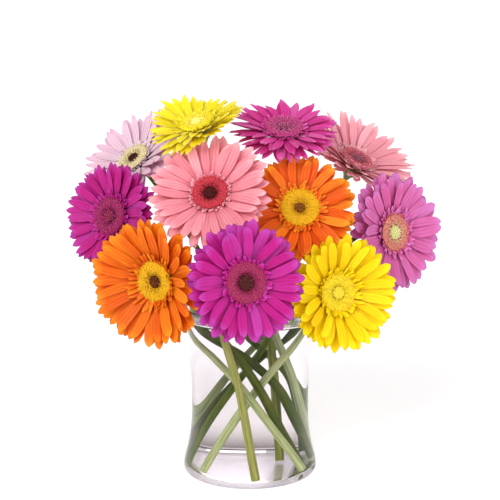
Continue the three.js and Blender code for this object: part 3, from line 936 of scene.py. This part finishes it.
def short_ray_material(name):
    """Between the colour of the florets that it stands by and the colour of the long petals."""
    root, body, tip, groove = (colour(c) for c in PETAL_LOOKS[name])
    middle = colour(FLORET_LOOKS[name][4])
    look = Look(f"short_ray_{name}")
    along, across, tone = (look.value(v) for v in ("along", "across", "tone"))
    place_on = look.vector(look.math("MULTIPLY", across, 3), along, look.math("MULTIPLY", tone, 31))
    fibres = look.noise(place_on, 3.0, 3)
    shade = look.ramp(along, (0.2, middle), (0.45, root), (0.75, body), (1, tip))
    shade = look.mix(look.map(fibres, 0.45, 0.75, 0, 0.4), shade, groove)
    shade = look.mix(look.map(look.math("FRACT", tone), 0.5, 0, 0, 0.5), shade, tip)
    look.set(Base_Color=shade, Roughness=0.55, Specular_IOR_Level=0.2)
    look.bump(fibres, 0.3, 0.0003)
    look.glow_through(shade, 0.25)
    return look.material


def floret_material(name):
    """Deep at the foot of each floret, bright at its lobes, and changing from the eye outward."""
    core, base, body, tip, rim = (colour(c) for c in FLORET_LOOKS[name])
    look = Look(f"disc_{name}")
    along, outness, tone = (look.value(v) for v in ("along", "across", "tone"))
    grain = look.noise(look.vector(look.math("MULTIPLY", tone, 50), along, outness), 4.0, 2)
    shade = look.ramp(along, (0, base), (0.55, body), (1, tip))
    shade = look.mix(look.map(tone, 0, 1, 0, 0.35), shade, body)
    shade = look.mix(look.map(outness, 0.45, 0.85, 0, 0.75), shade, rim)
    shade = look.mix(look.map(outness, 0.34, 0.1, 0, 0.85), shade, core)
    shade = look.mix(look.map(grain, 0.4, 0.7, 0, 0.4), shade, base)
    look.set(Base_Color=shade, Roughness=0.7, Specular_IOR_Level=0.15)
    look.bump(grain, 0.3, 0.0002)
    look.glow_through(shade, 0.15)
    return look.material


def eye_material(name):
    """Buds whose colour goes over into the innermost florets' toward the outside."""
    base, body, tip = (colour(c) for c in EYE_LOOKS[name])
    look = Look(f"eye_{name}")
    along, outness, tone = (look.value(v) for v in ("along", "across", "tone"))
    grain = look.noise(look.vector(look.math("MULTIPLY", tone, 50), along, 0.0), 5.0, 2)
    shade = look.ramp(along, (0, base), (0.6, body), (1, tip))
    shade = look.mix(look.map(tone, 0, 1, 0, 0.5), shade, base)
    loose = look.math("ADD", outness, look.map(tone, 0, 1, -0.25, 0.25))
    shade = look.mix(look.map(loose, 0.6, 1.1, 0, 0.8), shade, colour(FLORET_LOOKS[name][0]))
    look.set(Base_Color=shade, Roughness=look.map(grain, 0.3, 0.7, 0.6, 0.8), Specular_IOR_Level=0.12)
    look.bump(grain, 0.4, 0.0002)
    return look.material


def stem_material(name):
    """Green with long streaks and a painted highlight that makes the ribs paler, each stem with its own
    shade.
    """
    light, dark = (colour(c) for c in STEM_LOOKS[name])
    look = Look(f"stem_{name}")
    along, round_it = look.value("along"), look.value("across")
    streak_place = look.vector(look.math("MULTIPLY", round_it, 14), look.math("MULTIPLY", along, 5), 0.0)
    streaks = look.noise(streak_place, 1.6, 4)
    patches = look.noise(look.vector(round_it, look.math("MULTIPLY", along, 9), 3.0), 1.0, 2)
    ribs = look.math("COSINE", look.math("MULTIPLY", round_it, RIBS * TURN))
    shade = look.mix(look.map(streaks, 0.35, 0.68), dark, light)
    # Painted highlight: the ribs are lightened toward the pale colour
    shade = look.mix(look.map(ribs, 0.0, 1.0, 0, 0.3), shade, light)
    shade = look.mix(look.map(patches, 0.55, 0.8, 0, 0.35), shade, colour("8a7a3c"))
    look.set(Base_Color=shade, Roughness=look.map(streaks, 0.3, 0.7, 0.45, 0.65))
    look.set(Specular_IOR_Level=0.12)
    look.bump(streaks, 0.4, 0.0004)
    return look.material


def bract_material(name):
    """Green with long fibres, and going over to brown at the tip."""
    look = Look(f"bract_{name}")
    along, across, tone = (look.value(v) for v in ("along", "across", "tone"))
    fibre_place = look.vector(look.math("MULTIPLY", across, 4), along, look.math("MULTIPLY", tone, 20))
    fibres = look.noise(fibre_place, 2.5, 3)
    shade = look.ramp(along, (0, colour("4f7026")), (0.7, colour("6a8c34")), (1, colour("8a6a4a")))
    shade = look.mix(look.map(fibres, 0.4, 0.7, 0, 0.5), shade, colour("3a561c"))
    look.set(Base_Color=shade, Roughness=0.6, Specular_IOR_Level=0.25)
    look.bump(fibres, 0.4, 0.0003)
    look.glow_through(shade, 0.1)
    return look.material


def clear_material(name, tint, bending):
    """Clear body that bends what is seen through it, and lets the lamps' light on to what it holds.

    Where glass and water touch, hardly anything is mirrored. A painted shade darkens the heel of
    the wall toward the back and the lowest edge, and the underside is faintly frosted.
    """
    look = Look(name)
    spot = look.place_in("Object")
    waves = look.noise(spot, 18.0, 2)
    _, depth, height = look.split(spot)
    away = look.distance_out(spot)
    wet = look.value("along")
    shade = look.mix(look.map(height, *FOOT_HEIGHTS), FOOT_TINT, tint)
    # Painted shade along the lowest outer edge of the foot
    edge = look.math("MULTIPLY", look.map(height, *EDGE_HEIGHTS), look.map(away, *EDGE_DISTANCES))
    shade = look.mix(edge, shade, EDGE_PAINTED_SHADE)
    # Painted shade in the heel of the wet wall, deepest just over the inside floor and toward the back
    heel = look.math("MULTIPLY", look.map(height, *HEEL_HEIGHTS), look.map(height, *HEEL_END_HEIGHTS))
    heel = look.math("MULTIPLY", look.math("POWER", heel, 2), look.map(depth, *HEEL_DEPTHS))
    shade = look.mix(look.math("MULTIPLY", wet, heel), shade, HEEL_PAINTED_SHADE)
    under = look.math("MULTIPLY", look.map(height, *FROST_HEIGHTS), look.map(away, *FROST_DISTANCES))
    look.set(Base_Color=shade, Roughness=look.math("MULTIPLY", under, FROST), IOR=bending)
    look.set(Transmission_Weight=1.0, Specular_Tint=look.mix(wet, DRY_MIRROR, WET_MIRROR))
    look.bump(waves, 0.03, 0.0006)
    clear = look.tree.nodes.new("ShaderNodeBsdfTransparent")
    clear.inputs["Color"].default_value = LET_THROUGH
    path = look.tree.nodes.new("ShaderNodeLightPath")
    body = look.blend(path.outputs["Is Diffuse Ray"], look.shader.outputs[0], clear.outputs[0])
    body = look.blend(path.outputs["Is Shadow Ray"], body, clear.outputs[0])
    look.tree.links.new(body, look.output.inputs["Surface"])
    return look.material


def floor_material():
    """Pale and matt, and glowing more the further out it is, where the lamps hardly reach."""
    look = Look("floor")
    spot = look.place_in("Object")
    mottle = look.noise(spot, 3.0, 3)
    shade = look.ramp(mottle, (0.3, colour("f6f6f6")), (0.7, colour("fafafa")))
    look.set(Base_Color=shade, Roughness=0.9, Specular_IOR_Level=0.1)
    look.set(Emission_Color=(1, 1, 1, 1))
    look.set(Emission_Strength=look.map(look.distance_out(spot), NEAR, FAR, NEAR_GLOW, FAR_GLOW))
    return look.material


# Setting

CAMERA_DISTANCE = 1.5133
CAMERA_HEIGHT = 0.5628
CAMERA_PITCH = 12.7 * DEGREE
SENSOR = 36
FRAME_PIXELS = 500
FOCAL_PIXELS = 1600
GLASS_BOUNCES = 24

# The floor: its half width, its level, and how much it glows near the vase and far from it
FLOOR_HALF = 12.0
FLOOR_LEVEL = -0.0004
NEAR = 0.3
FAR = 3.0
NEAR_GLOW = 0.18
FAR_GLOW = 0.56

# The room's glow in front and overhead, against 1 behind, and each lamp's place, size and power
FRONT_GLOW = 0.75
OVERHEAD_GLOW = 0.4
LAMP_AIM = Vector((0, 0, 0.22))
LAMPS = {
    "key": ((-0.7, -1.4, 1.3), 1.1, 30),
    "fill": ((1.3, -0.9, 0.9), 1.2, 12),
    "back": ((0.3, 1.4, 1.4), 1.2, 6),
}


def make_camera():
    """The camera, standing straight in front of the bunch and looking a little down at it."""
    data = bpy.data.cameras.new("camera")
    data.sensor_width = SENSOR
    data.lens = SENSOR * FOCAL_PIXELS / FRAME_PIXELS
    camera = bpy.data.objects.new("camera", data)
    camera.location = (0, -CAMERA_DISTANCE, CAMERA_HEIGHT)
    camera.rotation_euler = (math.pi / 2 - CAMERA_PITCH, 0, 0)
    bpy.context.scene.collection.objects.link(camera)
    bpy.context.scene.camera = camera


def make_lamp(name, place_at, size, power):
    """A square lamp that is turned toward the bunch."""
    data = bpy.data.lights.new(name, "AREA")
    data.size = size
    data.energy = power
    lamp = bpy.data.objects.new(name, data)
    lamp.location = place_at
    lamp.rotation_euler = (LAMP_AIM - lamp.location).to_track_quat("-Z", "Y").to_euler()
    bpy.context.scene.collection.objects.link(lamp)


def make_room():
    """A white backdrop behind and to the sides, with the room dimmer in front and overhead."""
    world = bpy.data.worlds.new("studio")
    world.use_nodes = True
    room = Nodes(world.node_tree)
    backdrop = room.tree.nodes["Background"]
    _, behind, height = room.split(room.place_in("Generated"))
    around = room.map(behind, -0.5, 0.2, FRONT_GLOW, 1.0)
    glow = room.math("MULTIPLY", around, room.map(height, 0.4, 0.8, 1.0, OVERHEAD_GLOW))
    backdrop.inputs["Color"].default_value = (1, 1, 1, 1)
    room.feed(backdrop.inputs["Strength"], glow)
    bpy.context.scene.world = world


def make_setting():
    """The floor, the room, the lamps, and what it takes to see through glass and water."""
    mesh = bpy.data.meshes.new("floor")
    corners = [(-1, -1), (1, -1), (1, 1), (-1, 1)]
    points = [(x * FLOOR_HALF, y * FLOOR_HALF, FLOOR_LEVEL) for x, y in corners]
    mesh.from_pydata(points, [], [(0, 1, 2, 3)])
    floor = bpy.data.objects.new("floor", mesh)
    bpy.context.scene.collection.objects.link(floor)
    mesh.materials.append(floor_material())
    floor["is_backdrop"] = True
    make_room()
    for name, (place_at, size, power) in LAMPS.items():
        make_lamp(name, place_at, size, power)
    scene = bpy.context.scene
    scene.view_settings.view_transform = "Standard"
    scene.cycles.max_bounces = GLASS_BOUNCES
    scene.cycles.transmission_bounces = GLASS_BOUNCES
    scene.cycles.glossy_bounces = GLASS_BOUNCES
    scene.cycles.transparent_max_bounces = GLASS_BOUNCES


for bloom_name, bloom in BLOOMS.items():
    bloom_place = bloom_axes(bloom_name)
    make_rays(bloom_name, bloom, bloom_place)
    eye_radius = make_disc(bloom_name, bloom, bloom_place)
    make_eye(bloom_name, bloom, bloom_place, eye_radius)
    make_stem(bloom_name, bloom, bloom_place)
water_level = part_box("water")[1].z / MM
make_water(make_vase(water_level), water_level)
make_camera()
make_setting()

boxes = {"cad": CAD_BOX, "visual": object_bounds()}
{key: [list(corner) for corner in box] for key, box in boxes.items()}
